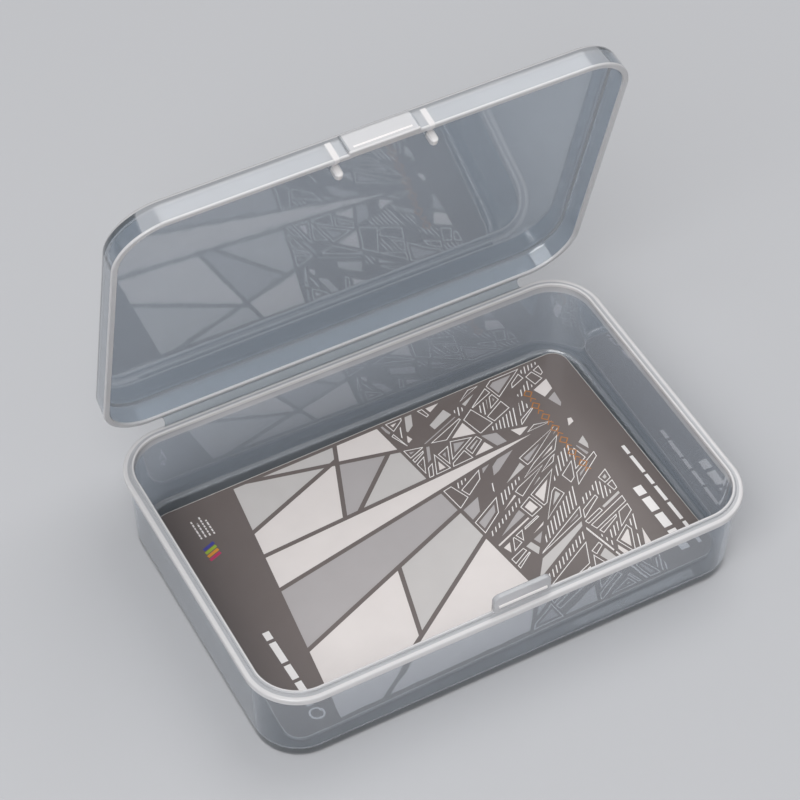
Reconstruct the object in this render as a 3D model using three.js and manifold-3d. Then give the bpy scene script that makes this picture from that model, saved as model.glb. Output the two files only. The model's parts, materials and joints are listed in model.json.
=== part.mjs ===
// A hinged card box: a tray and a shallow lid moulded in translucent polypropylene, joined along the back by a
// thin living hinge, with a snap catch at the front and one plastic card lying inside.
// Units are millimetres, +Z is up. The origin is on the table under the middle of the tray. The front, with the
// catch, faces -Y, and the hinge runs along +X at the back. The lid is modelled shut and then swung open.

import * as THREE from 'three'
import { mergeVertices } from 'three/addons/utils/BufferGeometryUtils.js'
import Module from 'manifold-3d'

const wasm = await Module()
wasm.setup()

// ---- Driving dimensions -------------------------------------------------------------------------------------

// the outline that the tray's flange and the lid's rim share
const boxLength = 95
const boxDepth = 64.5
const cornerRadius = 9.6

// tray
const seatHeight = 18.1 // from the table to the ledge that the shut lid sits on
const floorThickness = 1.2
const trayWall = 1.05
const flangeThickness = 1.3
const flangeReach = 0.8 // how far the flange stands out from the wall below it
const trayDraft = 0.6 // how far the wall leans in between flange and floor
const trayBottomRadius = 1.2
const trayInnerRadius = 1.1
const lipHeight = 0.5 // the thin inner lip that stands above the ledge
const lipThickness = 0.6

// lid
const lidHeight = 5.2
const lidWall = 1.1
const lidTopThickness = 1.1
const lidDraft = 0.3
const lidOuterRadius = 1.6
const lidInnerRadius = 1.1

// clearances
const lipClearance = 0.2 // between the lip and the inside of the lid's wall
const seatClearance = 0.3 // between the ledge and the shut lid's rim
const fingerClearance = 0.3 // between the lip and the guide fingers that go down inside it
const catchClearance = 0.15 // between the tongue's ridge and the tab's lower edge as they pass
const tongueClearance = 0.4 // beside and above the tongue, inside the tab
const restGap = 0.1 // under the card

// catch: an upright tongue on the tray that goes up inside a hollow tab on the lid
const tongueWidth = 11
const tongueHeight = 3.3 // above the lip
const tongueThickness = 1
const tongueCornerRadius = 1.1
const tongueRidge = 0.3 // how far its ridge stands out
const tongueRidgeInset = 0.85 // from the tongue's sides to the ridge's ends
const tongueRidgeBelowTop = 2.3
const tabBulge = 0.6
const tabEdgeHeight = 1 // the thicker lower edge of the tab, which the tongue's ridge sits above

// guide fingers, one on each side of the tab, on the inside of the lid's front wall
const fingerGap = 1.4 // between the tab and each finger
const fingerWidth = 1.5
const fingerThickness = 1.2
const fingerReach = 1.7 // below the lid's rim

// living hinge
const hingeEndInset = 1.5 // from where the box's corners begin to the hinge's ends
const hingeGap = 1.76 // between the tray's and the lid's back edges when the box lies flat open
const filmThickness = 0.3
const filmEdgeGap = 0.3
const lidOpening = 76.5 // degrees between shut and the modelled position

// card
const cardLength = 85.6
const cardWidth = 54
const cardThickness = 0.76
const cardCornerRadius = 3.18
const cardShift = 0.6 // it lies a little to the right of the middle
const cardTurn = 1 // degrees, because it lies loose

// ---- Sizes that follow from them ------------------------------------------------------------------------------

const lipInset = lidWall + lipClearance // from the outline to the lip's outer face
const lipTop = seatHeight + lipHeight
const tongueFront = -boxDepth / 2 + lipInset
const hingeY = boxDepth / 2 + hingeGap / 2
const hingeZ = seatHeight + seatClearance / 2
const hingeLength = boxLength - 2 * (cornerRadius + hingeEndInset)
const rimZ = seatHeight + seatClearance // the shut lid's rim
const tabHollowHalfWidth = tongueWidth / 2 + tongueClearance
const tabHalfWidth = tabHollowHalfWidth + tabBulge
const roundSegments = 8 // along each vertical corner
const filletSegments = 4
const overlap = 0.05 // how deep joined features reach into what they stand on

// ---- Materials ------------------------------------------------------------------------------------------------

const clearPolypropylene = new THREE.MeshStandardMaterial({
  color: 0xc9ced2, roughness: 0.25, metalness: 0, transparent: true, opacity: 0.5
})
const hingePolypropylene = new THREE.MeshStandardMaterial({
  color: 0xb4b8bc, roughness: 0.2, metalness: 0, transparent: true, opacity: 0.35
})
const printedPlastic = new THREE.MeshStandardMaterial({ color: 0x756b67, roughness: 0.35, metalness: 0 })

// ---- From geometry to solids and back ---------------------------------------------------------------------------

// A closed three.js geometry as a manifold solid: shared points are merged and flattened triangles dropped.
function solidFrom(geometry) {
  const bare = geometry.clone()
  bare.deleteAttribute('normal')
  bare.deleteAttribute('uv')
  const merged = mergeVertices(bare, 1e-4)
  const corners = merged.index.array
  const triangles = []
  for (let i = 0; i < corners.length; i += 3) {
    const [a, b, c] = [corners[i], corners[i + 1], corners[i + 2]]
    if (a !== b && b !== c && c !== a) triangles.push(a, b, c)
  }
  return new wasm.Manifold(new wasm.Mesh({
    numProp: 3,
    vertProperties: new Float32Array(merged.attributes.position.array),
    triVerts: new Uint32Array(triangles)
  }))
}

function meshFrom(name, solid, material) {
  const result = solid.getMesh()
  const geometry = new THREE.BufferGeometry()
  geometry.setAttribute('position', new THREE.BufferAttribute(result.vertProperties, 3))
  geometry.setIndex(new THREE.BufferAttribute(result.triVerts, 1))
  geometry.computeVertexNormals()
  const mesh = new THREE.Mesh(geometry, material)
  mesh.name = name
  return mesh
}

// ---- Shapes -------------------------------------------------------------------------------------------------------

// Points of a quarter-round from one direction to another, as [inset, height] pairs.
function quarterRound(inset, height, radius, fromDegrees, toDegrees) {
  const points = []
  for (let i = 0; i <= filletSegments; i++) {
    const angle = THREE.MathUtils.degToRad(fromDegrees + (toDegrees - fromDegrees) * i / filletSegments)
    points.push([inset + radius * Math.cos(angle), height + radius * Math.sin(angle)])
  }
  return points
}

// A wall profile carried round the box's outline. It is a lathe turned about one vertical corner and pulled apart
// at the quarters, so that each quarter becomes a corner and the gaps between them the four straight sides.
// The profile holds [inset from the outline, height] pairs, and starts and ends on the middle of the box.
function rimmedShell(profile) {
  const middle = 2 * boxLength // any inset past the corner's centre means the middle of the box
  const points = [[middle, profile[0][1]], [cornerRadius, profile[0][1]], ...profile,
    [cornerRadius, profile.at(-1)[1]], [middle, profile.at(-1)[1]]]
  const columns = 4 * (roundSegments + 1)
  const lathe = new THREE.LatheGeometry(
    points.map(([inset, height]) => new THREE.Vector2(Math.max(cornerRadius - inset, 0), height)), columns)
  const position = lathe.attributes.position
  for (let column = 0; column <= columns; column++) {
    const quarter = Math.floor(column / (roundSegments + 1)) % 4
    const step = column % (roundSegments + 1)
    const angle = (quarter + step / roundSegments) * Math.PI / 2
    const sideX = quarter === 0 || quarter === 3 ? 1 : -1
    const sideY = quarter < 2 ? 1 : -1
    for (let i = 0; i < points.length; i++) {
      const [inset, height] = points[i]
      const radius = Math.max(cornerRadius - inset, 0)
      const spread = inset === middle ? 0 : 1
      position.setXYZ(
        column * points.length + i,
        spread * sideX * (boxLength / 2 - cornerRadius) + radius * Math.cos(angle),
        spread * sideY * (boxDepth / 2 - cornerRadius) + radius * Math.sin(angle),
        height)
    }
  }
  return solidFrom(lathe)
}

// A plate with rounded corners, lying flat with its lower face at the given height.
function roundedPlate(length, width, radius, thickness, height, segments) {
  const shape = new THREE.Shape()
  const [x, y] = [length / 2, width / 2]
  shape.moveTo(-x + radius, -y)
  shape.lineTo(x - radius, -y)
  shape.absarc(x - radius, -y + radius, radius, -Math.PI / 2, 0)
  shape.lineTo(x, y - radius)
  shape.absarc(x - radius, y - radius, radius, 0, Math.PI / 2)
  shape.lineTo(-x + radius, y)
  shape.absarc(-x + radius, y - radius, radius, Math.PI / 2, Math.PI)
  shape.lineTo(-x, -y + radius)
  shape.absarc(-x + radius, -y + radius, radius, Math.PI, 1.5 * Math.PI)
  const geometry = new THREE.ExtrudeGeometry(shape, { depth: thickness, bevelEnabled: false, curveSegments: segments })
  geometry.translate(0, 0, height)
  return geometry
}

// A side view, drawn as [y, z] pairs, pushed out along X to the given width about the middle.
function sideProfile(outline, width, centreX = 0) {
  const shape = new THREE.Shape(outline.map(([y, z]) => new THREE.Vector2(y, z)))
  const geometry = new THREE.ExtrudeGeometry(shape, { depth: width, bevelEnabled: false })
  // the drawing's axes are turned to Y and Z, and the push to X
  geometry.applyMatrix4(new THREE.Matrix4().makeBasis(
    new THREE.Vector3(0, 1, 0), new THREE.Vector3(0, 0, 1), new THREE.Vector3(1, 0, 0)))
  geometry.translate(centreX - width / 2, 0, 0)
  return solidFrom(geometry)
}

// An upright plate across the front of the box, with its two top corners rounded, to trim other shapes with.
function roundToppedPlate(width, radius, bottom, top) {
  const shape = new THREE.Shape()
  const half = width / 2
  shape.moveTo(-half, bottom)
  shape.lineTo(half, bottom)
  shape.lineTo(half, top - radius)
  shape.absarc(half - radius, top - radius, radius, 0, Math.PI / 2)
  shape.lineTo(-half + radius, top)
  shape.absarc(-half + radius, top - radius, radius, Math.PI / 2, Math.PI)
  const geometry = new THREE.ExtrudeGeometry(shape, {
    depth: boxDepth / 2, bevelEnabled: false, curveSegments: filletSegments
  })
  geometry.rotateX(Math.PI / 2)
  return solidFrom(geometry)
}

// ---- Tray -----------------------------------------------------------------------------------------------------------

function trayShell() {
  const bottomInset = flangeReach + trayDraft
  const innerTop = lipInset + lipThickness
  const innerBottom = bottomInset + trayWall
  return rimmedShell([
    ...quarterRound(bottomInset + trayBottomRadius, trayBottomRadius, trayBottomRadius, 270, 180),
    [flangeReach, seatHeight - flangeThickness],
    [0, seatHeight - flangeThickness],
    [0, seatHeight],
    [lipInset, seatHeight],
    [lipInset, lipTop],
    [innerTop, lipTop],
    ...quarterRound(innerBottom + trayInnerRadius, floorThickness + trayInnerRadius, trayInnerRadius, 180, 270)
  ])
}

// The upright tongue in the middle of the front lip, with rounded top corners and a ridge across its outer face.
function catchTongue() {
  const front = tongueFront
  const back = front + tongueThickness
  const top = lipTop + tongueHeight
  const foot = lipTop - 2 * tongueThickness // it blends into the wall below the lip
  const upright = sideProfile([
    [front + overlap, foot],
    [back - tongueThickness / 2, foot],
    [back, lipTop],
    [back, top - tongueThickness / 4],
    [back - tongueThickness / 4, top],
    [front + tongueThickness / 4, top],
    [front, top - tongueThickness / 4],
    [front, seatHeight - overlap],
    [front + overlap, seatHeight - overlap]
  ], tongueWidth)
  const ridge = top - tongueRidgeBelowTop
  const ridgeBar = sideProfile([
    [front + overlap, ridge + tongueRidge + overlap],
    [front - tongueRidge, ridge + tongueRidge / 2],
    [front - tongueRidge, ridge - tongueRidge / 2],
    [front + overlap, ridge - tongueRidge - overlap]
  ], tongueWidth - 2 * tongueRidgeInset)
  return upright.intersect(roundToppedPlate(tongueWidth, tongueCornerRadius, foot, top)).add(ridgeBar)
}

function tray() {
  return meshFrom('tray', trayShell().add(catchTongue()), clearPolypropylene)
}

// ---- Lid, modelled shut -------------------------------------------------------------------------------------------

function lidShell() {
  const top = rimZ + lidHeight
  const panel = top - lidTopThickness
  return rimmedShell([
    ...quarterRound(lidDraft + lidWall + lidInnerRadius, panel - lidInnerRadius, lidInnerRadius, 90, 180),
    [lidWall, rimZ],
    [0, rimZ],
    ...quarterRound(lidDraft + lidOuterRadius, top - lidOuterRadius, lidOuterRadius, 180, 90)
  ])
}

// The hollow tab in the middle of the lid's front wall. Its outside stands proud of the wall.
function claspTab() {
  const front = -boxDepth / 2
  const height = lidHeight - lidOuterRadius / 2
  return sideProfile([
    [front - tabBulge, rimZ],
    [front + lidWall / 2, rimZ],
    [front + lidWall / 2 + lidDraft, rimZ + height],
    [front + lidDraft, rimZ + height],
    [front - tabBulge + lidDraft, rimZ + height - tabBulge]
  ], 2 * tabHalfWidth)
}

// The room for the tongue inside the tab. It is deeper above the tab's lower edge, where the tongue's ridge sits.
function tabHollow() {
  const edgeFace = tongueFront - tongueRidge - catchClearance
  const hollowFace = -boxDepth / 2 + lidWall - tabBulge
  const inside = -boxDepth / 2 + 2 * lidWall
  const edge = rimZ + tabEdgeHeight
  const ceiling = lipTop + tongueHeight + tongueClearance
  return sideProfile([
    [edgeFace, rimZ - overlap],
    [inside, rimZ - overlap],
    [inside, ceiling],
    [hollowFace, ceiling],
    [hollowFace, edge],
    [edgeFace, edge]
  ], 2 * tabHollowHalfWidth)
}

// One round-ended finger on the inside of the lid's front wall. It reaches down past the rim and goes inside the
// tray's lip as the lid shuts, which keeps the tab in line with the tongue.
function guideFinger(side) {
  const wall = -boxDepth / 2 + lidWall - overlap
  const outer = -boxDepth / 2 + lipInset + lipThickness + fingerClearance
  const inner = outer + fingerThickness
  const shoulder = lipTop + fingerClearance
  const tipCentre = rimZ - fingerReach + fingerWidth / 2
  const panel = rimZ + lidHeight - lidTopThickness + overlap
  const centreX = side * (tabHalfWidth + fingerGap + fingerWidth / 2)
  const bar = sideProfile([
    [outer, tipCentre],
    [inner, tipCentre],
    [inner, panel],
    [wall, panel],
    [wall, shoulder],
    [outer, shoulder]
  ], fingerWidth, centreX)
  const tip = new THREE.CylinderGeometry(fingerWidth / 2, fingerWidth / 2, fingerThickness, 16)
  tip.translate(centreX, (outer + inner) / 2, tipCentre)
  return bar.add(solidFrom(tip))
}

function lid() {
  const solid = lidShell()
    .add(claspTab())
    .subtract(tabHollow())
    .add(guideFinger(-1))
    .add(guideFinger(1))
  return meshFrom('lid', solid, clearPolypropylene)
}

// Everything that turns about the hinge: the given meshes are swung open by an angle about the hinge's axis.
function swungOpen(degrees, ...meshes) {
  const axis = new THREE.Group()
  axis.position.set(0, hingeY, hingeZ)
  axis.rotation.x = -THREE.MathUtils.degToRad(degrees)
  for (const mesh of meshes) {
    mesh.position.set(0, -hingeY, -hingeZ)
    axis.add(mesh)
  }
  return axis
}

// ---- Living hinge -----------------------------------------------------------------------------------------------------

// The film, upright behind the shut box. As the lid swings, it turns half as far, so it lies flat when the box
// lies flat open. Its ends are rounded.
function hingeFilm() {
  const width = hingeGap - 2 * filmEdgeGap
  const plate = roundedPlate(hingeLength, width, width / 2 - overlap, filmThickness, -filmThickness / 2, 3)
  plate.rotateX(Math.PI / 2)
  plate.translate(0, hingeY, hingeZ)
  return meshFrom('hinge_film', solidFrom(plate), hingePolypropylene)
}

// ---- Card ---------------------------------------------------------------------------------------------------------------

function card() {
  const plate = roundedPlate(cardLength, cardWidth, cardCornerRadius, cardThickness, 0, 6)
  const mesh = meshFrom('card', solidFrom(plate), printedPlastic)
  mesh.position.set(cardShift, 0, floorThickness + restGap)
  mesh.rotation.z = THREE.MathUtils.degToRad(cardTurn)
  return mesh
}

// ---- Assembly -------------------------------------------------------------------------------------------------------------

const cardBox = new THREE.Group()
cardBox.add(tray(), card(), swungOpen(lidOpening / 2, hingeFilm()), swungOpen(lidOpening, lid()))

export default cardBox
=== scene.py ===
# %% [markdown]
# # A hinged card box in translucent polypropylene
# The box is one shot of polypropylene: a deep tray and a shallow lid joined by a thin film of the same
# plastic. One printed plastic card lies in the tray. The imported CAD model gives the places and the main
# sizes. This lesson builds finer, rounded meshes over it, because clear plastic shows its shape mostly by its
# rounded edges.

# %% The frame and the sizes it gives
import json
import random
from math import atan2, cos, pi, radians, sin, tan

import bmesh
import bpy
from mathutils import Euler, Matrix, Vector


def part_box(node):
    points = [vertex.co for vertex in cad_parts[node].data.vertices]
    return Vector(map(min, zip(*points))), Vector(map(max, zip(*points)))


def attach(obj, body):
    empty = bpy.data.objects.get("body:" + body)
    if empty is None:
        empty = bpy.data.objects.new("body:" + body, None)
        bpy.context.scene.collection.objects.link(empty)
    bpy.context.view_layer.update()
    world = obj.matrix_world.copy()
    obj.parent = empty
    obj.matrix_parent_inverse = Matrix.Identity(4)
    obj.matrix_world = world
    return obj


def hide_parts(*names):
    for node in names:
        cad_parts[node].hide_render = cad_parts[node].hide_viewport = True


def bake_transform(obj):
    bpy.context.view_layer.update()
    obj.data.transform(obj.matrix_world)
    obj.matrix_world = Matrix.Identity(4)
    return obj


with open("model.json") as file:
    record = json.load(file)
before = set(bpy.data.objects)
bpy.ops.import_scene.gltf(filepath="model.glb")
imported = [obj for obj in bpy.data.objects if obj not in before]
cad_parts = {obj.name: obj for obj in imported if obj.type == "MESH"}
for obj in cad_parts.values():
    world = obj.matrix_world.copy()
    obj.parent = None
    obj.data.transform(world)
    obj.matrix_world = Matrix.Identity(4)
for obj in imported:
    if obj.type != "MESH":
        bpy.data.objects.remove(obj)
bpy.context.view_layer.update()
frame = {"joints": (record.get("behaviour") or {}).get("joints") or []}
mm = 0.001

tray_low, tray_high = (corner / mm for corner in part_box("tray"))
card_low, card_high = (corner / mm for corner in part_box("card"))
box_length = tray_high.x - tray_low.x
box_depth = tray_high.y - tray_low.y
lid_joint = next(joint for joint in frame["joints"] if joint["name"] == "lid_hinge")
hinge_point = Vector(lid_joint["pos_m"]) / mm
lid_opening = radians(-lid_joint["range_deg"][0])
print(f"box {box_length:.1f} x {box_depth:.1f} mm, hinge at y {hinge_point.y:.2f}, z {hinge_point.z:.2f} mm")

# %% [markdown]
# ## Sizes of the mouldings
# These are the same sizes as in the CAD model, in millimetres. The outline is the one that the tray's
# flange and the lid's rim share, and an inset is a distance inwards from it.

# %% Named sizes
corner_radius = 9.6
seat_height, lip_height, lip_thickness = 18.1, 0.5, 0.6
floor_thickness, tray_wall = 1.2, 1.05
flange_thickness, flange_reach, tray_draft = 1.3, 0.8, 0.6
lid_height, lid_wall, lid_top_thickness, lid_draft = 5.2, 1.1, 1.1, 0.3
lip_clearance, seat_clearance, finger_clearance = 0.2, 0.3, 0.3
tongue_clearance, catch_clearance = 0.4, 0.15
tongue_width, tongue_height, tongue_thickness = 11, 3.3, 1.0
tongue_corner_radius = 1.1
tongue_ridge, tongue_ridge_inset, tongue_ridge_below_top = 0.3, 0.85, 2.3
tab_bulge, tab_edge_height, tab_below_top = 0.6, 1.0, 0.8
finger_gap, finger_width, finger_thickness, finger_reach = 1.4, 1.5, 1.2, 1.7
hinge_end_inset, film_thickness = 1.5, 0.3

lip_inset = lid_wall + lip_clearance
lip_top = seat_height + lip_height
rim_z = seat_height + seat_clearance
front = -box_depth / 2
tongue_front = front + lip_inset
tab_half_width = tongue_width / 2 + tongue_clearance + tab_bulge

# %% [markdown]
# ## A profile carried round the box
# Both mouldings have the same plan: a rounded rectangle. A toolmaker would cut the wall's section once and
# run it round that outline, and so does this cell. Each corner of the section gets its own small radius,
# and a ring of points just past each radius keeps the shading of the flat faces flat.

# %% Rounding a section's corners
def rounded_section(corners, steps=5):
    """Turns (inset, height, radius) corners into (inset, height) points, with each radius drawn as an arc."""
    points = []
    for index, (inset, height, radius) in enumerate(corners):
        here = Vector((inset, height))
        if radius == 0:
            points.append(here)
            continue
        before = (Vector(corners[index - 1][:2]) - here).normalized()
        after = (Vector(corners[index + 1][:2]) - here).normalized()
        half = before.angle(after) / 2
        reach = radius / tan(half)
        centre = here + (before + after).normalized() * (radius / sin(half))
        first, last = here + before * reach, here + after * reach
        start = atan2(first.y - centre.y, first.x - centre.x)
        turn = atan2(last.y - centre.y, last.x - centre.x) - start
        turn = (turn + pi) % (2 * pi) - pi
        support = min(0.08, reach / 2)  # the extra point that keeps the flat face flat
        points.append(first + before * support)
        for step in range(steps + 1):
            angle = start + turn * step / steps
            points.append(centre + radius * Vector((cos(angle), sin(angle))))
        points.append(last + after * support)
    return points


# %% Running the section round the outline
def moulded_shell(name, section, corner_steps=20):
    """A closed mesh in millimetres. The section starts and ends on flat faces, which are closed across."""
    plan = []
    for quarter, (side_x, side_y) in enumerate(((1, 1), (-1, 1), (-1, -1), (1, -1))):
        for step in range(corner_steps + 1):
            angle = (quarter + step / corner_steps) * pi / 2
            plan.append((side_x, side_y, cos(angle), sin(angle)))
    mesh = bmesh.new()
    rings = []
    for inset, height in section:
        radius = corner_radius - inset
        rings.append([mesh.verts.new((
            side_x * (box_length / 2 - corner_radius) + radius * along,
            side_y * (box_depth / 2 - corner_radius) + radius * across,
            height)) for side_x, side_y, along, across in plan])
    for lower, upper in zip(rings, rings[1:]):
        for index in range(len(plan)):
            after = (index + 1) % len(plan)
            mesh.faces.new((lower[index], lower[after], upper[after], upper[index]))
    mesh.faces.new(list(reversed(rings[0])))
    mesh.faces.new(rings[-1])
    return finished(name, mesh)


def finished(name, mesh):
    """Turns a bmesh in millimetres into a mesh object, with every face looking outwards."""
    bmesh.ops.recalc_face_normals(mesh, faces=mesh.faces)
    data = bpy.data.meshes.new(name)
    mesh.to_mesh(data)
    mesh.free()
    piece = bpy.data.objects.new(name, data)
    bpy.context.scene.collection.objects.link(piece)
    return piece


# %% [markdown]
# ## Bars and plates with eased edges
# The tongue, the tab and the fingers are small straight features. Each is a flat outline pushed out to a
# thickness, and its edges are eased, because a mould cutter leaves no razor edges and each eased edge
# catches a line of light.

# %% Small features, and joining them on
def eased_bar(name, outline, start, end, place, easing):
    """Pushes an outline from start to end, and place(a, b, depth) says where each point goes."""
    mesh = bmesh.new()
    first = [mesh.verts.new(place(a, b, start)) for a, b in outline]
    second = [mesh.verts.new(place(a, b, end)) for a, b in outline]
    mesh.faces.new(first)
    mesh.faces.new(list(reversed(second)))
    for index in range(len(outline)):
        after = (index + 1) % len(outline)
        mesh.faces.new((first[index], second[index], second[after], first[after]))
    bmesh.ops.recalc_face_normals(mesh, faces=mesh.faces)
    sharp = [edge for edge in mesh.edges if edge.calc_face_angle(0) > radians(40)]
    bmesh.ops.bevel(mesh, geom=sharp, offset=easing, segments=3, profile=0.5, affect="EDGES",
                    clamp_overlap=True)
    return finished(name, mesh)


def side_view(y, z, x):
    return x, y, z


def front_view(x, z, y):
    return x, y, z


def combine(piece, tool, operation):
    """Joins the tool onto the piece, or cuts it out, and leaves one closed body."""
    step = piece.modifiers.new("combine", "BOOLEAN")
    step.object, step.operation, step.solver = tool, operation, "EXACT"
    shaped = bpy.data.meshes.new_from_object(piece.evaluated_get(bpy.context.evaluated_depsgraph_get()))
    piece.modifiers.clear()
    piece.data = shaped
    bpy.data.objects.remove(tool)


def upright_plate(width, radius, bottom, top, steps=6):
    """The front view of a plate whose two top corners are rounded, as (x, z) points."""
    half = width / 2
    points = [(-half, bottom), (half, bottom)]
    for side in (1, -1):
        for step in range(steps + 1):
            angle = radians(90) * (step / steps if side == 1 else 1 + step / steps)
            points.append((side * (half - radius) + radius * cos(angle), top - radius + radius * sin(angle)))
    return points


# %% [markdown]
# ## The tray
# The wall leans in a little towards the floor so that the tray leaves its mould. Below the rim a flange
# stands out, then comes the ledge that the lid sits on, and a thin lip stands up inside it. Each corner
# below is an inset, a height and a radius, and the section starts and ends on the flat bottom and the flat
# floor.

# %% Tray
bottom_inset = flange_reach + tray_draft
lip_inner = lip_inset + lip_thickness
section_end = 4.5  # inset of the last point on each flat face
tray = moulded_shell("tray_moulding", rounded_section([
    (section_end, 0, 0),
    (bottom_inset, 0, 1.2),
    (flange_reach, seat_height - flange_thickness, 0.3),
    (0, seat_height - flange_thickness, 0.25),
    (0, seat_height, 0.3),
    (lip_inset, seat_height, 0.1),
    (lip_inset, lip_top, 0.16),
    (lip_inner, lip_top, 0.16),
    (bottom_inset + tray_wall, floor_thickness, 1.1),
    (section_end + 0.3, floor_thickness, 0)]))

tongue_top = lip_top + tongue_height
tongue = eased_bar(
    "tongue", upright_plate(tongue_width, tongue_corner_radius, seat_height - 1, tongue_top),
    tongue_front, tongue_front + tongue_thickness, front_view, easing=0.22)
combine(tray, tongue, "UNION")
ridge_z = tongue_top - tongue_ridge_below_top
ridge_half = tongue_width / 2 - tongue_ridge_inset
ridge_root, root_half_height, face_half_height = 0.3, 0.5, 0.2
ridge_outline = [
    (tongue_front + ridge_root, ridge_z + root_half_height),
    (tongue_front - tongue_ridge, ridge_z + face_half_height),
    (tongue_front - tongue_ridge, ridge_z - face_half_height),
    (tongue_front + ridge_root, ridge_z - root_half_height)]
ridge = eased_bar("ridge", ridge_outline, -ridge_half, ridge_half, side_view, easing=0.12)
combine(tray, ridge, "UNION")
print("tray faces", len(tray.data.polygons))

# %% [markdown]
# ## The lid
# The lid is built shut, like the CAD one, and then swung open about the hinge. Its wall carries a hollow
# tab for the tongue, with a finger on each side that reaches past the rim and finds its way inside the
# tray's lip.

# %% Lid, built shut
lid_top = rim_z + lid_height
panel = lid_top - lid_top_thickness
lid = moulded_shell("lid_moulding", rounded_section([
    (section_end + 0.3, panel, 0),
    (lid_wall + lid_draft, panel, 1.1),
    (lid_wall, rim_z, 0.2),
    (0, rim_z, 0.25),
    (lid_draft, lid_top, 1.6),
    (section_end, lid_top, 0)]))

# %% Clasp tab
tab_top = lid_top - tab_below_top
tab_outline = [
    (front - tab_bulge, rim_z),
    (front + lid_wall / 2, rim_z),
    (front + lid_wall / 2 + lid_draft, tab_top),
    (front + lid_draft, tab_top),
    (front - tab_bulge + lid_draft, tab_top - tab_bulge)]
tab = eased_bar("tab", tab_outline, -tab_half_width, tab_half_width, side_view, easing=0.2)
combine(lid, tab, "UNION")

edge_face = tongue_front - tongue_ridge - catch_clearance
hollow_face = front + lid_wall - tab_bulge
ceiling = tongue_top + tongue_clearance
hollow_half = tab_half_width - tab_bulge
hollow_outline = [
    (edge_face, rim_z - 1),
    (front + 2 * lid_wall, rim_z - 1),
    (front + 2 * lid_wall, ceiling),
    (hollow_face, ceiling),
    (hollow_face, rim_z + tab_edge_height),
    (edge_face, rim_z + tab_edge_height)]
hollow = eased_bar("hollow", hollow_outline, -hollow_half, hollow_half, side_view, easing=0.1)
combine(lid, hollow, "DIFFERENCE")

# %% Guide fingers
finger_outer = front + lip_inner + finger_clearance
finger_tip = rim_z - finger_reach
finger_middle = tab_half_width + finger_gap + finger_width / 2
finger_half = finger_width / 2
finger_end = panel + 0.3  # a little way into the lid's panel
finger_shoulder = lip_top + finger_clearance
for side in (-1, 1):
    centre = side * finger_middle
    left, right = centre - finger_half, centre + finger_half
    round_tip = [(centre + finger_half * cos(radians(angle)),
                  finger_tip + finger_half + finger_half * sin(radians(angle)))
                 for angle in range(180, 361, 15)]
    bar = eased_bar("finger", round_tip + [(right, finger_end), (left, finger_end)],
                    finger_outer, finger_outer + finger_thickness, front_view, easing=0.2)
    root_outline = [
        (left, finger_shoulder), (right, finger_shoulder), (right, finger_end), (left, finger_end)]
    root = eased_bar("root", root_outline,
                     front + lid_wall - 0.1, finger_outer + finger_thickness / 2, front_view, easing=0.2)
    combine(bar, root, "UNION")
    combine(lid, bar, "UNION")
print("lid faces", len(lid.data.polygons))

# %% [markdown]
# ## Smooth faces and crisp edges
# Each face is shaded smooth, and an edge stays crisp where it turns sharply. Large faces are given more
# weight than narrow ones, so the flat walls reflect like flat walls. Each point keeps its place in the shut
# box and its inset from the box's outline as attributes, so that a material can tell a rim from a wall
# however the lid stands.

# %% Finishing the mouldings
def smoothed(piece, crisp_degrees=38):
    piece.data.polygons.foreach_set("use_smooth", [True] * len(piece.data.polygons))
    piece.data.set_sharp_from_angle(angle=radians(crisp_degrees))
    weights = piece.modifiers.new("weights", "WEIGHTED_NORMAL")
    weights.keep_sharp = True
    piece.data = bpy.data.meshes.new_from_object(piece.evaluated_get(bpy.context.evaluated_depsgraph_get()))
    piece.modifiers.clear()


def inset_from_outline(point):
    beyond_x = abs(point.x) - (box_length / 2 - corner_radius)
    beyond_y = abs(point.y) - (box_depth / 2 - corner_radius)
    if beyond_x > 0 and beyond_y > 0:
        return corner_radius - Vector((beyond_x, beyond_y)).length
    return corner_radius - max(beyond_x, beyond_y)


def keep_shut_position(piece):
    """Stores each point's place in millimetres before it is moved, and its inset from the box's outline."""
    places = piece.data.attributes.new("as_moulded", "FLOAT_VECTOR", "POINT")
    places.data.foreach_set("vector", [value for vertex in piece.data.vertices for value in vertex.co])
    insets = piece.data.attributes.new("inset", "FLOAT", "POINT")
    insets.data.foreach_set("value", [inset_from_outline(vertex.co) for vertex in piece.data.vertices])


def about_hinge(angle):
    swing = Matrix.Rotation(-angle, 4, "X")
    return Matrix.Translation(hinge_point) @ swing @ Matrix.Translation(-hinge_point)


for piece, angle in ((tray, 0), (lid, lid_opening)):
    smoothed(piece)
    keep_shut_position(piece)
    piece.data.transform(Matrix.Scale(mm, 4) @ about_hinge(angle))
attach(tray, "tray")
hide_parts("tray")
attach(lid, "lid")
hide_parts("lid")
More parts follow.
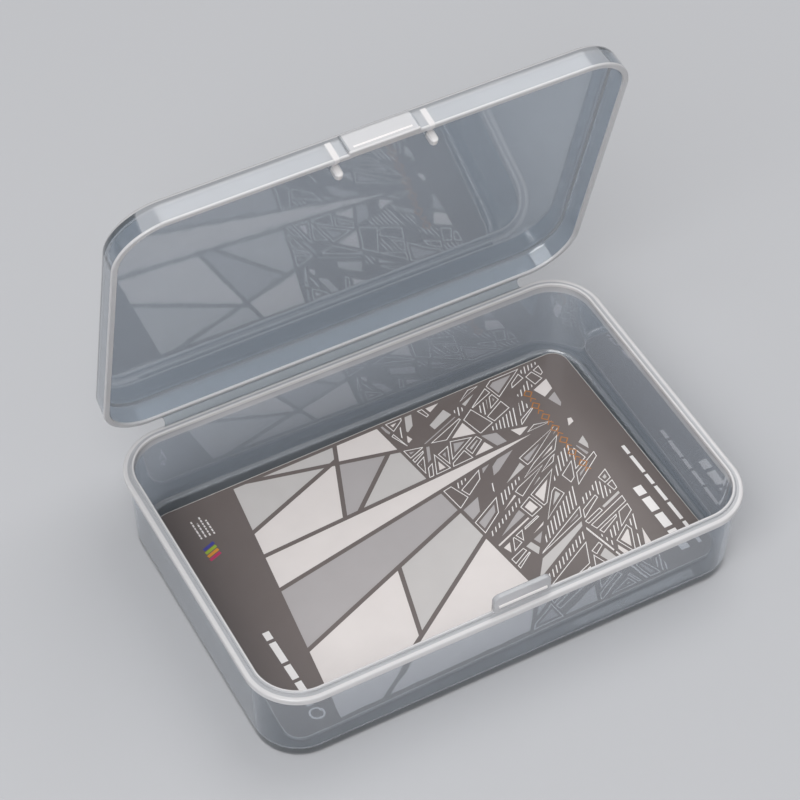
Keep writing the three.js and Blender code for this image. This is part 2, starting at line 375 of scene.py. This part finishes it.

# %% [markdown]
# ## The living hinge
# The hinge is a film that thins from nearly half a millimetre at the rims to less than a fifth of one half
# way across. It is drawn straight from rim to rim, where a real film would loop outwards, with a rounded
# notch at each end where the film stops.

# %% Hinge film
film_half = box_length / 2 - corner_radius - hinge_end_inset
film_bite = 0.25  # how far the film reaches into each rim
rim_share, waist_share = 1.5, 0.9  # of the film's thickness: at the rims, and taken off half way across
end_notch = 0.55
film_steps = 12
tray_edge = Vector((0, box_depth / 2 - film_bite, seat_height - film_thickness / 2))
lid_edge = about_hinge(lid_opening) @ Vector((0, box_depth / 2 - film_bite, rim_z + film_thickness / 2))
film_span = lid_edge - tray_edge
film_normal = film_span.cross(Vector((1, 0, 0))).normalized()
film_mesh = bmesh.new()
film_rows = []
for step in range(film_steps + 1):
    share = step / film_steps
    waist = 1 - 4 * (share - 0.5) ** 2  # 0 at the rims, 1 half way across
    thickness = film_thickness * (rim_share - waist_share * waist)
    half = film_half - end_notch * waist ** 0.5
    middle = tray_edge + film_span * share
    film_rows.append([
        film_mesh.verts.new(middle + Vector((side * half, 0, 0)) + film_normal * thickness * face / 2)
        for side, face in ((-1, -1), (1, -1), (1, 1), (-1, 1))])
for near, far in zip(film_rows, film_rows[1:]):
    for index in range(4):
        after = (index + 1) % 4
        film_mesh.faces.new((near[index], near[after], far[after], far[index]))
film_mesh.faces.new(film_rows[0])
film_mesh.faces.new(list(reversed(film_rows[-1])))
film = finished("living_hinge", film_mesh)
smoothed(film)
film.data.transform(Matrix.Scale(mm, 4))
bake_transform(film)
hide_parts("hinge_film")
print(f"film spans {film_span.length:.2f} mm over {2 * film_half:.1f} mm")

# %% [markdown]
# ## The card
# The card is a plastic card of the usual bank-card size. It is punched from a laminated sheet, so its edge
# is straight with a very small radius, and it lies a little askew.

# %% Card blank
card_length, card_width, card_thickness, card_corner = 85.6, 54.0, 0.76, 3.18
card_turn = radians(1)
card_easing = 0.08
card_centre = (card_low + card_high) / 2
to_card = Matrix.Translation((card_centre.x, card_centre.y, card_low.z)) @ Matrix.Rotation(card_turn, 4, "Z")
to_card_metres = Matrix.Scale(mm, 4) @ to_card


def rounded_rectangle(length, width, radius, steps=10):
    points = []
    for quarter, (side_x, side_y) in enumerate(((1, 1), (-1, 1), (-1, -1), (1, -1))):
        for step in range(steps + 1):
            angle = (quarter + step / steps) * pi / 2
            points.append((side_x * (length / 2 - radius) + radius * cos(angle),
                           side_y * (width / 2 - radius) + radius * sin(angle)))
    return points


def lying_flat(x, y, z):
    return x, y, z


card = eased_bar("card_blank", rounded_rectangle(card_length, card_width, card_corner), 0, card_thickness,
                 lying_flat, card_easing)
smoothed(card)
card.data.transform(to_card_metres)
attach(card, "card")
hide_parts("card")

# %% [markdown]
# ## The print
# The card is screen printed in several inks over a white core. A warm grey covers the whole face. Light
# facets lie on it with dark seams between them, like leaded glass, then fine white line work, a
# copper-coloured stamp and a small colour bar. The pattern is this lesson's own: a sheet is cut by straight
# lines, and each facet is drawn a little smaller than its share so that the grey shows between.

# %% Cutting a sheet into facets
def clipped(polygon, point, normal):
    """The part of a convex polygon on the side of a line that its normal points to."""
    kept = []
    for index, here in enumerate(polygon):
        after = polygon[(index + 1) % len(polygon)]
        side_here, side_after = (here - point).dot(normal), (after - point).dot(normal)
        if side_here >= 0:
            kept.append(here)
        if side_here * side_after < 0:
            kept.append(here.lerp(after, side_here / (side_here - side_after)))
    return kept


def turning(polygon):
    """Twice the polygon's area, positive if its points run anticlockwise."""
    return sum(a.cross(b) for a, b in zip(polygon, polygon[1:] + polygon[:1]))


def middle_of(polygon):
    return sum(polygon, Vector((0, 0))) / len(polygon)


def cut_by(facets, point, degrees, chosen=lambda middle: True):
    """Cuts every chosen facet along a line through the point."""
    normal = Vector((-sin(radians(degrees)), cos(radians(degrees))))
    sliver = 0.6  # twice the area in square millimetres, below which a piece is dropped
    result = []
    for facet in facets:
        pieces = [facet]
        if chosen(middle_of(facet)):
            pieces = [clipped(facet, point, normal), clipped(facet, point, -normal)]
        result += [piece for piece in pieces if len(piece) > 2 and abs(turning(piece)) > sliver]
    return result


def drawn_in(polygon, gap):
    """The polygon with every side moved inwards by the gap, or nothing if it is too small."""
    inner = polygon
    for here, after in zip(polygon, polygon[1:] + polygon[:1]):
        along = (after - here).normalized()
        normal = Vector((-along.y, along.x)) * (1 if turning(polygon) > 0 else -1)
        inner = clipped(inner, here + normal * gap, normal)
        if len(inner) < 3:
            return []
    return inner


# %% The large facets
vanishing = Vector((34, 12))
main_ray = (2, 9)  # degrees between which one long pale facet runs the whole way


def on_main_ray(middle):
    bearing = atan2(vanishing.y - middle.y, vanishing.x - middle.x)
    return radians(main_ray[0]) < bearing < radians(main_ray[1])


large = [[Vector(corner) for corner in ((-34, -26.5), (32.5, -26.5), (37.5, 26.5), (-27, 26.5))]]
for degrees in (-14, *main_ray, 20, 33, 52):
    large = cut_by(large, vanishing, degrees)
large = cut_by(large, Vector((-10, 16)), 68, lambda middle: middle.y > 8 and not on_main_ray(middle))
large = cut_by(large, Vector((-24, 17)), 20, lambda middle: middle.y > 8 and middle.x < -10)
large = cut_by(large, Vector((2, 20)), 40, lambda middle: middle.y > 8 and -10 < middle.x < 20)
large = cut_by(large, Vector((-12, -14)), 75, lambda middle: middle.y < -8)
large = cut_by(large, Vector((7, 0)), 98, lambda middle: not on_main_ray(middle))
print("large facets", len(large))


# %% [markdown]
# The right of the sheet is busier. There a piece is cut again and again across its middle, always along one
# of a few slants, so the line work keeps to the same directions, as a drawing in perspective does.

# %% The small facets
dealer = random.Random(23)
slants = (20, 27, 33, 104, 112, 66)


def shattered(polygon, smallest):
    if abs(turning(polygon)) / 2 < smallest:
        return [polygon]
    off_middle = Vector((dealer.uniform(-1, 1), dealer.uniform(-1, 1)))
    pieces = cut_by([polygon], middle_of(polygon) + off_middle, dealer.choice(slants))
    if len(pieces) < 2:
        return pieces
    return [part for piece in pieces for part in shattered(piece, smallest * dealer.uniform(0.6, 1.6))]


busy_edge, smallest_piece = 7, 15
plain = [facet for facet in large if middle_of(facet).x < busy_edge or on_main_ray(middle_of(facet))]
small = [part for facet in large if facet not in plain for part in shattered(facet, smallest_piece)]
print("small facets", len(small))

# %% [markdown]
# Each ink is its own thin solid on the card, as a screen-printed layer is, and a hundredth of a millimetre
# thick, like real screen ink. Inks that don't overlap share a level, and a much smaller gap keeps the levels
# from touching.

# %% Ink layers
ink_gap, ink_thickness = 0.002, 0.01


def printed_layer(name, polygons, level):
    """One ink: every polygon becomes a closed flat body on top of the card."""
    mesh = bmesh.new()
    low = card_thickness + ink_gap + level * (ink_thickness + ink_gap)
    for polygon in polygons:
        points = polygon if turning(polygon) > 0 else polygon[::-1]
        lower = [mesh.verts.new((p.x, p.y, low)) for p in points]
        upper = [mesh.verts.new((p.x, p.y, low + ink_thickness)) for p in points]
        mesh.faces.new(lower[::-1])
        mesh.faces.new(upper)
        for index in range(len(points)):
            after = (index + 1) % len(points)
            mesh.faces.new((lower[index], lower[after], upper[after], upper[index]))
    layer = finished(name, mesh)
    layer.data.transform(to_card_metres)
    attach(layer, "card")
    return layer


def stroke(start, end, width):
    """A straight line of the given width, as a polygon."""
    start, end = Vector(start), Vector(end)
    across = (end - start).normalized().orthogonal() * width / 2
    return [start + across, start - across, end - across, end + across]


def path(points, width):
    """A line of even width through several points, in pieces whose mitred ends meet without overlap."""
    points = [Vector(point) for point in points]
    sides = [(after - here).normalized() for here, after in zip(points, points[1:])]
    closed = (points[0] - points[-1]).length < 0.001
    ends = []
    for index, point in enumerate(points):
        before = sides[index - 1] if index or closed else sides[0]
        after = sides[index] if index < len(sides) else sides[0] if closed else sides[-1]
        along = (before + after).normalized()
        across = Vector((-along.y, along.x)) * width / 2 / max(0.35, along.dot(after))
        ends.append((point + across, point - across))
    return [[here[0], here[1], after[1], after[0]] for here, after in zip(ends, ends[1:])]


def ring(centre_x, centre_y, radius, step):
    """The points of a closed ring. A step of 90 degrees makes it a diamond."""
    return [(centre_x + radius * cos(radians(angle)), centre_y + radius * sin(radians(angle)))
            for angle in range(0, 361, step)]


# %% Base, facets and line work
margin = 0.15  # the ink stops this far from the card's edge
card_outline = [Vector(point) for point in rounded_rectangle(
    card_length - 2 * margin, card_width - 2 * margin, card_corner - margin)]
base_layer = printed_layer("ink_base", [card_outline], 0)

tones = {"pale": [], "middle": [], "deep": []}
white = []
seam, fine_seam, fine_line = 0.42, 0.3, 0.15
line_spacing, line_width, line_slant = 0.8, 0.22, 0.4
core_gap = {"double": 0.55, "filled": 0.1}
smallest_facet, smallest_line = 1.5, 0.2  # twice the area, in square millimetres
order = ("middle", "deep", "pale", "middle", "pale", "deep", "middle")
for index, facet in enumerate(plain):
    inner = drawn_in(facet, seam)
    if inner:
        tones["pale" if on_main_ray(middle_of(facet)) else order[index % len(order)]].append(inner)
for facet in small:
    inner = drawn_in(facet, fine_seam)
    if not inner or abs(turning(inner)) < smallest_facet:
        continue
    kind = dealer.choice(("outline", "double", "double", "filled", "filled", "lined", "empty"))
    if kind in ("outline", "double"):
        white += path(inner + inner[:1], fine_line)
    if kind in core_gap:
        core = drawn_in(inner, core_gap[kind])
        if core:
            tones[dealer.choice(("pale", "middle", "deep"))].append(core)
    if kind == "lined":  # close parallel lines across the facet
        middle = middle_of(inner)
        for offset in range(-6, 7):
            start = line_spacing * offset
            band = clipped(inner, middle + Vector((start, 0)), Vector((1, -line_slant)))
            if len(band) > 2:
                band = clipped(band, middle + Vector((start + line_width, 0)), Vector((-1, line_slant)))
            if len(band) > 2 and abs(turning(band)) > smallest_line:
                white.append(band)
ink_layers = {tone: printed_layer("ink_" + tone, polygons, 1) for tone, polygons in tones.items()}
print("white strokes", len(white))

# %% Bars where titles would stand, stamp and colour bar
def broken_bar(x, start, end, width, shortest, longest, gap):
    """A row of plain blocks along the card's width."""
    blocks = []
    while start < end:
        length = dealer.uniform(shortest, longest)
        blocks.append(stroke((x, start), (x, min(start + length, end)), width))
        start += length + gap
    return blocks


bars = broken_bar(x=37.3, start=-24, end=-8.6, width=1.7, shortest=2.6, longest=5.4, gap=0.8)
bars += broken_bar(x=40.3, start=-24, end=0.8, width=0.7, shortest=1.6, longest=4.4, gap=0.6)
bars += broken_bar(x=-36.4, start=-21.5, end=-5, width=1.3, shortest=2.4, longest=5.0, gap=0.7)
bars += path(ring(-36.4, -23.4, radius=1.1, step=30), width=0.35)
for row in range(4):  # four rows of very small blocks, where small print would stand
    bars += broken_bar(x=-34.2 - 0.85 * row, start=18.6, end=23.5 - dealer.uniform(0, 1.5), width=0.3,
                       shortest=0.4, longest=0.9, gap=0.2)
line_work = printed_layer("ink_white_lines", white, 2)
title_bars = printed_layer("ink_white_bars", bars, 2)

stamp = []
stamp_line, stamp_pitch = 0.22, 3.2
for index in range(7):  # a row of small diamonds and chevrons
    x, y = 31.6 + dealer.uniform(-0.2, 0.2), 20 - stamp_pitch * index
    stamp += path(ring(x, y, radius=0.85, step=90), stamp_line)
    stamp += path([(x - 0.6, y - 1.9), (x, y - 1.2), (x + 0.6, y - 1.9)], stamp_line)
stamp_layer = printed_layer("ink_copper_stamp", stamp, 3)

swatch_colours = {"magenta": "#bf3a67", "orange": "#dd9433", "lime": "#9db43a", "violet": "#46479a"}
swatch_layers = {}
for index, name in enumerate(swatch_colours):
    swatch = stroke((-37.6, 13.6 + 0.85 * index), (-35.2, 14.4 + 0.85 * index), width=0.6)
    swatch_layers[name] = printed_layer("ink_bar_" + name, [swatch], 1)

# %% [markdown]
# ## Materials
# Colours are written as sRGB hex values, as a designer would pick them, and one function turns them into
# the linear values that the renderer works in. One small function adds a node with its settings and links.

# %% Colour and node helpers
def linear(hex_colour):
    channels = [int(hex_colour[i:i + 2], 16) / 255 for i in (1, 3, 5)]
    return [c / 12.92 if c <= 0.04045 else ((c + 0.055) / 1.055) ** 2.4 for c in channels] + [1]


def add(tree, kind, settings=None, **links):
    """Adds a node, sets its properties, and gives inputs, by name or as i0 and i1, a value or a link."""
    node = tree.nodes.new(kind)
    for key, value in (settings or {}).items():
        setattr(node, key, value)
    for key, value in links.items():
        numbered = key[0] == "i" and key[1:].isdigit()
        socket = node.inputs[int(key[1:]) if numbered else key.replace("_", " ")]
        if isinstance(value, bpy.types.NodeSocket):
            tree.links.new(value, socket)
        else:
            socket.default_value = value
    return node


def new_material(name):
    """A material with an empty tree and its Principled shader."""
    material = bpy.data.materials.new(name)
    material.use_nodes = True
    tree = material.node_tree
    tree.nodes.clear()
    shader = add(tree, "ShaderNodeBsdfPrincipled")
    add(tree, "ShaderNodeOutputMaterial", Surface=shader.outputs[0])
    return material, tree, shader


def coat_with(material, *pieces):
    for piece in pieces:
        piece.data.materials.clear()
        piece.data.materials.append(material)


# %% [markdown]
# ### Natural polypropylene, injection moulded in a polished tool
# Unpigmented polypropylene is milky: its crystals scatter part of the light, so a thin wall lets the
# background through with a bluish grey veil, and a thick or rounded edge looks nearly white. The polished
# tool leaves a gloss that mirrors the card. Its refractive index is about 1.49. The melt leaves faint flow
# streaks a few millimetres wide, and the surface ripples very slightly, which bends the reflections. True
# scattering inside a thin wall is slow to render, so a share of the surface is painted milky instead, most
# of all along the rims and edges. Some zones are painted light as well: painted highlights along the lip's
# inner edge and the tongue's ridge, a painted reflection on the lid's front wall, and painted light on the
# tray's floor and bottom edge, where too little light comes through the plastic.

# %% Where the moulding is milky, and where light is painted
def inside(tree, value, low, high, soft):
    """1 where the value lies between low and high, fading to 0 over the soft distance."""
    rise = add(tree, "ShaderNodeMapRange", Value=value, From_Min=low - soft, From_Max=low)
    fall = add(tree, "ShaderNodeMapRange", Value=value, From_Min=high + soft, From_Max=high)
    both = add(tree, "ShaderNodeMath", {"operation": "MULTIPLY"}, i0=rise.outputs[0], i1=fall.outputs[0])
    return both.outputs[0]


# Besides milkiness, some zones paint light into the colour: highlights, a reflection, and light in shaded
# places.
def milk_and_painted_light(tree, place, zones):
    """The strongest of several zones. Each has a strength, a soft distance and ranges of x, y, z or inset.
    A range of x counts on both sides of the middle."""
    axes = add(tree, "ShaderNodeSeparateXYZ", Vector=place)
    beside = add(tree, "ShaderNodeMath", {"operation": "ABSOLUTE"}, i0=axes.outputs["X"])
    inset = add(tree, "ShaderNodeAttribute", {"attribute_name": "inset"}).outputs["Fac"]
    values = {"x": beside.outputs[0], "y": axes.outputs["Y"], "z": axes.outputs["Z"], "inset": inset}
    strongest = None
    for strength, soft, ranges in zones:
        zone = strength
        for axis, (low, high) in ranges.items():
            part = inside(tree, values[axis], low, high, soft)
            zone = add(tree, "ShaderNodeMath", {"operation": "MULTIPLY"}, i0=zone, i1=part).outputs[0]
        if strongest is not None:
            zone = add(tree, "ShaderNodeMath", {"operation": "MAXIMUM"}, i0=strongest, i1=zone).outputs[0]
        strongest = zone
    return strongest


# %% Polypropylene
# The near-white of milky plastic, also the colour of the painted highlights and painted light.
milk_and_light_tint = "#ebe6e4"
wall_veil, veil_spread = 0.13, 0.04  # the share of light that a plain wall scatters, and how much it varies
clear_roughness, milky_roughness, fine_roughness = 0.03, 0.3, 0.03
flow_width, fine_width, ripple_width = 9, 0.6, 5  # in millimetres
coat_share, coat_ior = 0.8, 1.6


def polypropylene(name, wall_tint, zones):
    """The clearer a place is, the more clear coat it has, which strengthens its mirror. The milkier it is,
    the rougher it is."""
    material, tree, shader = new_material(name)
    place = add(tree, "ShaderNodeAttribute", {"attribute_name": "as_moulded"}).outputs["Vector"]
    flow = add(tree, "ShaderNodeTexNoise", Vector=place, Scale=1 / flow_width, Detail=3.0)
    fine = add(tree, "ShaderNodeTexNoise", Vector=place, Scale=1 / fine_width, Detail=2.0)
    ripple = add(tree, "ShaderNodeTexNoise", Vector=place, Scale=1 / ripple_width, Detail=1.0)
    # Milky plastic, and in some zones painted light.
    milk_and_light = milk_and_painted_light(tree, place, zones)
    veil = add(tree, "ShaderNodeMapRange", Value=flow.outputs["Fac"],
               To_Min=wall_veil - veil_spread, To_Max=wall_veil + veil_spread)
    scattered = add(tree, "ShaderNodeMath", {"operation": "MAXIMUM"}, i0=veil.outputs[0], i1=milk_and_light)
    clear = add(tree, "ShaderNodeMath", {"operation": "SUBTRACT", "use_clamp": True},
                i0=1.0, i1=scattered.outputs[0])
    colour = add(tree, "ShaderNodeMixRGB", Fac=milk_and_light, Color1=linear(wall_tint), Color2=linear(milk_and_light_tint))
    hazy = add(tree, "ShaderNodeMapRange", Value=milk_and_light, To_Min=clear_roughness, To_Max=milky_roughness)
    rough = add(tree, "ShaderNodeMath", {"operation": "MULTIPLY_ADD"},
                i0=fine.outputs["Fac"], i1=fine_roughness, i2=hazy.outputs[0])
    coat = add(tree, "ShaderNodeMath", {"operation": "MULTIPLY"}, i0=clear.outputs[0], i1=coat_share)
    bump = add(tree, "ShaderNodeBump", Height=ripple.outputs["Fac"], Strength=0.06, Distance=0.0004)
    tree.links.new(colour.outputs[0], shader.inputs["Base Color"])
    tree.links.new(rough.outputs[0], shader.inputs["Roughness"])
    tree.links.new(clear.outputs[0], shader.inputs["Transmission Weight"])
    tree.links.new(coat.outputs[0], shader.inputs["Coat Weight"])
    tree.links.new(bump.outputs[0], shader.inputs["Normal"])
    shader.inputs["IOR"].default_value = 1.49
    shader.inputs["Coat Roughness"].default_value = clear_roughness
    shader.inputs["Coat IOR"].default_value = coat_ior
    return material


# %% [markdown]
# Tray and lid are one plastic. Their tints are chosen, and the lid's is slightly deeper. In each
# zone the first number is how milky it is and the second is how many millimetres its edge takes to fade.

# %% The tray's milky zones and painted light
flange_low = seat_height - flange_thickness
tray_polypropylene = polypropylene("natural_polypropylene_tray", "#c8d0d9", [
    # the flange, and more strongly its outer edge
    (0.5, 0.2, {"z": (flange_low - 0.1, lip_top)}),
    (0.72, 0.25, {"inset": (-1, 0.7), "z": (flange_low - 0.1, seat_height + 0.2)}),
    # the lip's inner edge: milky plastic, with a painted highlight along its rounded edge
    (0.75, 0.2, {"inset": (lip_inner - 0.3, 6), "z": (seat_height, lip_top + 0.1)}),
    # painted light: the floor away from the walls is lightened where little light gets through the plastic,
    # and the bottom's rounded edge is painted nearly white over its contact shadow, as a painted bright line
    (0.3, 0.3, {"inset": (6, box_depth), "z": (-1, floor_thickness + 0.1)}),
    (0.7, 0.2, {"z": (-1, 0.6)}),
    # the tongue, milky, and its ridge: milky plastic, painted nearly white as a painted highlight line
    (0.5, 0.1, {"z": (lip_top, tongue_top + 1)}),
    (0.9, 0.15, {"x": (0, ridge_half), "y": (tongue_front - 1, tongue_front - 0.05),
                 "z": (ridge_z - 0.3, ridge_z + 0.3)})])

# %% The lid's milky zones and painted light
lid_front = (front - 1, front + lid_wall)
# The lid's deeper tint is painted shade: it is the same plastic as the tray, drawn darker.
lid_polypropylene = polypropylene("natural_polypropylene_lid", "#b9c3cd", [
    # the rim, and the rounded edge round the top
    (0.7, 0.1, {"z": (finger_tip, rim_z + 0.4)}),
    (0.65, 0.2, {"inset": (-1, 0.9), "z": (lid_top - 0.9, lid_top + 0.1)}),
    # the front wall and the tab on it: a painted reflection, the bright band that the soft light above
    # leaves on this glossy wall, painted milky; and the line of the tab's thicker lower edge, milky
    (0.4, 0.3, {"y": lid_front, "z": (rim_z, lid_top - 0.6)}),
    (0.6, 0.2, {"x": (0, tab_half_width - 0.4), "y": lid_front, "z": (rim_z, lid_top - 0.8)}),
    (0.9, 0.25, {"x": (0, tab_half_width - 1.2), "y": (front - 1, front + 1),
                 "z": (rim_z + 0.9, rim_z + 1.2)}),
    # the guide fingers
    (0.8, 0.5, {"x": (finger_middle - 0.4, finger_middle + 0.4), "y": (front - 1, front + 5),
                "z": (finger_tip - 1, lid_top - 1.6)})])
coat_with(tray_polypropylene, tray)
coat_with(lid_polypropylene, lid)

# %% [markdown]
# ### The flexed film
# Working the film back and forth stretches the polypropylene until its molecules lie across the hinge. The
# stretched film is clearer than the walls, and fine lines run along it.

# %% Flexed polypropylene
flexed_polypropylene, tree, shader = new_material("flexed_polypropylene")
place = add(tree, "ShaderNodeTexCoord")
line_length, line_gap = 12.5 * mm, 0.25 * mm
stretch = add(tree, "ShaderNodeMapping", Vector=place.outputs["Object"],
              Scale=(1 / line_length, 1 / line_gap, 1 / line_gap))
lines = add(tree, "ShaderNodeTexNoise", Vector=stretch.outputs[0], Scale=1.0, Detail=2.0)
rough = add(tree, "ShaderNodeMapRange", Value=lines.outputs["Fac"], To_Min=0.06, To_Max=0.2)
bump = add(tree, "ShaderNodeBump", Height=lines.outputs["Fac"], Strength=0.15, Distance=0.0001)
tree.links.new(rough.outputs[0], shader.inputs["Roughness"])
tree.links.new(bump.outputs[0], shader.inputs["Normal"])
shader.inputs["Base Color"].default_value = linear("#cfd6db")
shader.inputs["Transmission Weight"].default_value = 0.9
shader.inputs["IOR"].default_value = 1.49
coat_with(flexed_polypropylene, film)

# %% [markdown]
# ### Laminated card and its inks
# The card is PVC with a clear film rolled over the print, so it has an even satin gloss with very small
# dimples from the rolling plates. The inks share that gloss. Screen ink is never perfectly even, so each
# one varies slightly.

# %% Card and inks
def laminated_print(name, hex_colour, variation=0.05, roughness=0.32):
    material, tree, shader = new_material(name)
    place = add(tree, "ShaderNodeTexCoord")
    cloud = add(tree, "ShaderNodeTexNoise", Vector=place.outputs["Object"], Scale=1 / (6 * mm), Detail=3.0)
    grain = add(tree, "ShaderNodeTexNoise", Vector=place.outputs["Object"], Scale=1 / (0.35 * mm), Detail=2.0)
    colour = linear(hex_colour)
    ramp = add(tree, "ShaderNodeValToRGB", Fac=cloud.outputs["Fac"])
    for stop, factor in zip(ramp.color_ramp.elements, (1 - variation, 1 + variation)):
        stop.color = [min(1, channel * factor) for channel in colour[:3]] + [1]
    rough = add(tree, "ShaderNodeMapRange", Value=grain.outputs["Fac"],
                To_Min=roughness - 0.06, To_Max=roughness + 0.06)
    bump = add(tree, "ShaderNodeBump", Height=grain.outputs["Fac"], Strength=0.08, Distance=0.00005)
    tree.links.new(ramp.outputs[0], shader.inputs["Base Color"])
    tree.links.new(rough.outputs[0], shader.inputs["Roughness"])
    tree.links.new(bump.outputs[0], shader.inputs["Normal"])
    shader.inputs["IOR"].default_value = 1.52
    return material


ink_colours = {"pale": "#ded7d4", "middle": "#c4c0be", "deep": "#ada8a8"}
for tone, hex_colour in ink_colours.items():
    coat_with(laminated_print("screen_ink_" + tone, hex_colour), ink_layers[tone])
coat_with(laminated_print("pvc_card_core", "#dcd8d3", 0.02, 0.25), card)
coat_with(laminated_print("screen_ink_warm_grey", "#6d6461"), base_layer)
coat_with(laminated_print("screen_ink_white", "#efebe9"), line_work, title_bars)
coat_with(laminated_print("screen_ink_copper", "#b0763f"), stamp_layer)
for name, hex_colour in swatch_colours.items():
    coat_with(laminated_print("screen_ink_" + name, hex_colour), swatch_layers[name])

# %% [markdown]
# ## The floor, the light and the camera
# The box stands on a flat pale floor. A large soft light above it, to the right and a little behind, is kept
# dim, because the glossy front wall of the open lid mirrors it, and the bright band that it leaves on that
# wall is painted into the wall's colour instead. The stronger soft light stands to the front and left, where
# no flat face mirrors it towards the camera, and pale surroundings fill the rest.

# %% Floor
floor_reach = 3.0
floor_mesh = bmesh.new()
floor_mesh.faces.new([floor_mesh.verts.new((x * floor_reach, y * floor_reach, 0))
                      for x, y in ((-1, -1), (1, -1), (1, 1), (-1, 1))])
floor = finished("studio_floor", floor_mesh)
paper, tree, shader = new_material("matt_studio_paper")
shader.inputs["Base Color"].default_value = linear("#b6b7ba")
shader.inputs["Roughness"].default_value = 0.9
coat_with(paper, floor)


# %% Lights and surroundings
def softbox(name, bearing, height_degrees, distance, size, watts):
    """A square area light aimed at the box, from a bearing clockwise from the front and a height angle."""
    data = bpy.data.lights.new(name, "AREA")
    data.shape, data.size, data.energy = "SQUARE", size, watts
    lamp = bpy.data.objects.new(name, data)
    away = Vector((-sin(radians(bearing)) * cos(radians(height_degrees)),
                   -cos(radians(bearing)) * cos(radians(height_degrees)), sin(radians(height_degrees))))
    lamp.location = Vector((0, 0, 0.03)) + away * distance
    lamp.rotation_euler = away.to_track_quat("Z", "Y").to_euler()
    bpy.context.scene.collection.objects.link(lamp)


softbox("overhead_softbox", bearing=241.5, height_degrees=68, distance=1.0, size=0.7, watts=3.2)
softbox("front_softbox", bearing=50, height_degrees=52, distance=1.2, size=0.8, watts=10)

world = bpy.data.worlds.new("studio")
bpy.context.scene.world = world
world.use_nodes = True
surroundings = world.node_tree.nodes["Background"]
surroundings.inputs["Color"].default_value = linear("#e4e4e5")
surroundings.inputs["Strength"].default_value = 0.6

# %% Camera
# It stands to the front and left, and looks down at a point above the back half of the tray.
look_at = Vector((2.523, 16.576, 20.0)) * mm
camera_distance = 0.47409
camera_bearing, camera_height, camera_roll = -29.127, 48.593, 0.868
camera_data = bpy.data.cameras.new("camera")
camera_data.sensor_width = 36
camera_data.lens = 120.82
camera = bpy.data.objects.new("camera", camera_data)
turned = Euler((radians(90 - camera_height), 0, radians(camera_bearing))).to_matrix()
turned = turned @ Matrix.Rotation(radians(camera_roll), 3, "Z")
camera.matrix_world = Matrix.Translation(look_at + turned @ Vector((0, 0, camera_distance))) @ turned.to_4x4()
bpy.context.scene.collection.objects.link(camera)
bpy.context.scene.camera = camera
bpy.context.scene.view_settings.view_transform = "Standard"
